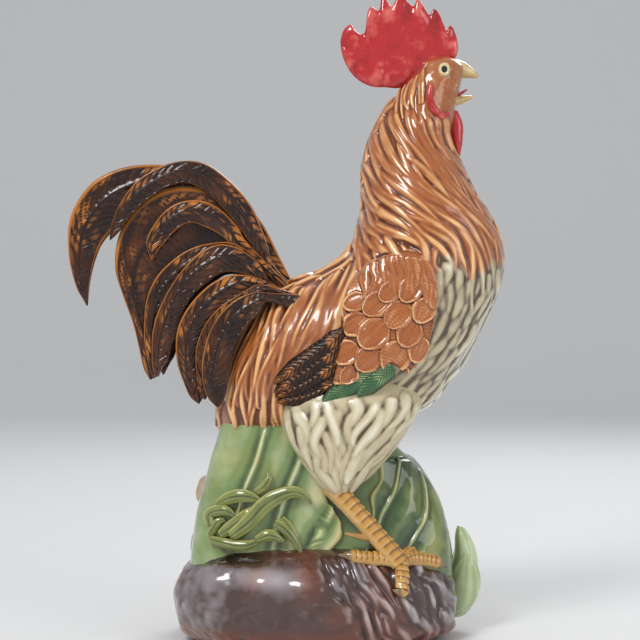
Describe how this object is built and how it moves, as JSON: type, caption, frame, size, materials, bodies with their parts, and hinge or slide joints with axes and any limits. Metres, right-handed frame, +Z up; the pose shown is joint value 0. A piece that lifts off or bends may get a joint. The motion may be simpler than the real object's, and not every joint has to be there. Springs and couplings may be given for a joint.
{
  "type": "ceramic rooster figurine",
  "caption": "Glazed ceramic rooster standing on a dark rock with a mound of leaves under its belly, free-standing, with upright comb and arched tail feathers.",
  "frame": {"origin": "centre of the whole outline's footprint, on the table", "axes": "+Z up, +X the way the beak points, -Y the bird's right side"},
  "size_m": [0.272, 0.1234, 0.3975],
  "materials": {
    "rock_glaze": "gloss",
    "leaf_glaze": "gloss",
    "grass_glaze": "gloss",
    "bud_glaze": "gloss",
    "stone_glaze": "satin",
    "brown_glaze": "gloss",
    "face_glaze": "gloss",
    "cream_glaze": "satin",
    "black_glaze": "gloss",
    "green_glaze": "gloss",
    "red_glaze": "gloss",
    "mouth_glaze": "gloss",
    "horn_glaze": "gloss",
    "ochre_glaze": "gloss",
    "eye_glaze": "gloss"
  },
  "bodies": {
    "root": {"rock_base": "rock_glaze", "rear_boulder": "rock_glaze", "leaf_mound": "leaf_glaze", "rear_leaf": "leaf_glaze", "front_leaf": "leaf_glaze", "grass_blade_1": "grass_glaze", "grass_blade_2": "grass_glaze", "grass_blade_3": "grass_glaze", "grass_blade_4": "grass_glaze", "grass_blade_5": "grass_glaze", "grass_blade_6": "grass_glaze", "bud": "bud_glaze", "bud_sheath_right": "bud_glaze", "bud_sheath_left": "bud_glaze", "pebble": "stone_glaze", "torso_shell_right": "brown_glaze", "torso_shell_left": "brown_glaze", "neck_shell_right": "brown_glaze", "neck_shell_left": "brown_glaze", "wing_coverts_right": "brown_glaze", "wing_coverts_left": "brown_glaze", "head": "face_glaze", "thigh_right": "cream_glaze", "thigh_left": "cream_glaze", "flight_feathers_right": "black_glaze", "flight_feathers_left": "black_glaze", "side_covert_right": "black_glaze", "side_covert_left": "black_glaze", "lesser_sickle_right": "black_glaze", "lesser_sickle_left": "black_glaze", "lower_sickle_right": "black_glaze", "lower_sickle_left": "black_glaze", "middle_sickle_right": "black_glaze", "middle_sickle_left": "black_glaze", "upper_sickle_right": "black_glaze", "upper_sickle_left": "black_glaze", "short_sickle": "black_glaze", "main_sickle": "black_glaze", "great_covert_right": "black_glaze", "great_covert_left": "black_glaze", "rear_sickle": "black_glaze", "green_coverts_right": "green_glaze", "green_coverts_left": "green_glaze", "comb": "red_glaze", "wattle_right": "red_glaze", "wattle_left": "red_glaze", "ear_lobe_right": "red_glaze", "ear_lobe_left": "red_glaze", "tongue": "mouth_glaze", "upper_beak": "horn_glaze", "lower_beak": "horn_glaze", "shank_right": "ochre_glaze", "shank_left": "ochre_glaze", "foot_right": "ochre_glaze", "foot_left": "ochre_glaze", "eye_right": "eye_glaze", "eye_left": "eye_glaze"}
  },
  "joints": []
}
